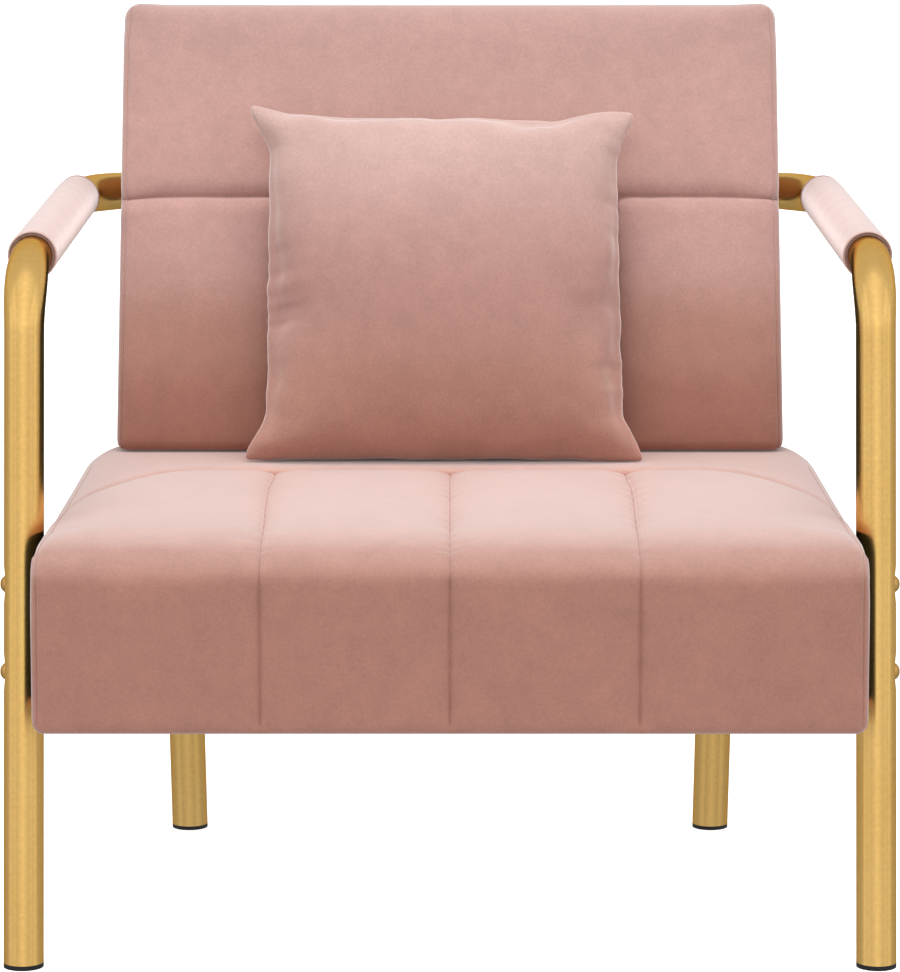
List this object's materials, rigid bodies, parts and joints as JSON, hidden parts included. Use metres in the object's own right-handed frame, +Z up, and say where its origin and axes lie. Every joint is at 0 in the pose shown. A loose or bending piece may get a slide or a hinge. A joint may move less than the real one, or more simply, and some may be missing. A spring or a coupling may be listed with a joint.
{
  "type": "upholstered armchair",
  "caption": "Low armchair with a channelled velvet seat and reclined back between bent gold tube legs that form padded arms, with a loose square pillow.",
  "frame": {"origin": "on the floor, at the middle of the chair's bounding box", "axes": "+X to the right as one faces the chair, +Y towards the back of the chair, +Z up; the chair faces -Y"},
  "size_m": [0.788, 0.8196, 0.8131],
  "materials": {
    "pink_velvet": "short velvet pile, dusty pink, soft sheen",
    "pillow_velvet": "the same velvet, sewn as a knife-edge pillow cover",
    "gold_steel": "satin gold plating, finely brushed",
    "gold_bolt": "satin gold, slightly warmer than the tube",
    "black_plastic": "matte",
    "zinc_steel": "zinc plated, satin",
    "black_steel": "black powder coat",
    "foam": "open-cell upholstery foam",
    "fibre_fill": "polyester fibre in a white liner",
    "dust_cloth": "black non-woven cloth",
    "elastic_webbing": "woven elastic",
    "timber": "plain sawn hardwood"
  },
  "bodies": {
    "chair": {"arm_cover_left": "pink_velvet", "arm_cover_right": "pink_velvet", "arm_foam_left": "foam", "arm_foam_right": "foam", "arm_tube_left": "gold_steel", "arm_tube_right": "gold_steel", "back_bracket_left": "black_steel", "back_bracket_right": "black_steel", "back_bracket_screws": "zinc_steel", "back_cover": "pink_velvet", "back_foam": "foam", "back_rail_bolts": "gold_bolt", "back_rail_bottom": "timber", "back_rail_middle": "timber", "back_rail_saddles": "black_plastic", "back_rail_top": "timber", "back_stile_left": "timber", "back_stile_right": "timber", "back_t_nuts": "zinc_steel", "back_webbing": "elastic_webbing", "front_glide_left": "black_plastic", "front_glide_right": "black_plastic", "rail_splice_sleeve": "zinc_steel", "rear_glide_left": "black_plastic", "rear_glide_right": "black_plastic", "rear_leg_board": "timber", "rear_leg_left": "gold_steel", "rear_leg_right": "gold_steel", "rear_leg_screws": "zinc_steel", "seat_corner_blocks": "timber", "seat_cover": "pink_velvet", "seat_dust_cover": "dust_cloth", "seat_foam": "foam", "seat_rail_front": "timber", "seat_rail_left": "timber", "seat_rail_rear": "timber", "seat_rail_right": "timber", "seat_side_bolts": "gold_bolt", "seat_side_saddles": "black_plastic", "seat_side_t_nuts": "zinc_steel", "seat_spring_clips": "zinc_steel", "seat_zigzag_springs": "zinc_steel", "splice_screws": "zinc_steel"},
    "pillow": {"pillow_insert": "fibre_fill", "pillow_cover": "pillow_velvet"}
  },
  "joints": [
    {"name": "pillow_lift", "type": "slide", "parent": "chair", "child": "pillow", "axis": [0, 0.342, 0.9397], "range_m": [0, 0.5]}
  ]
}
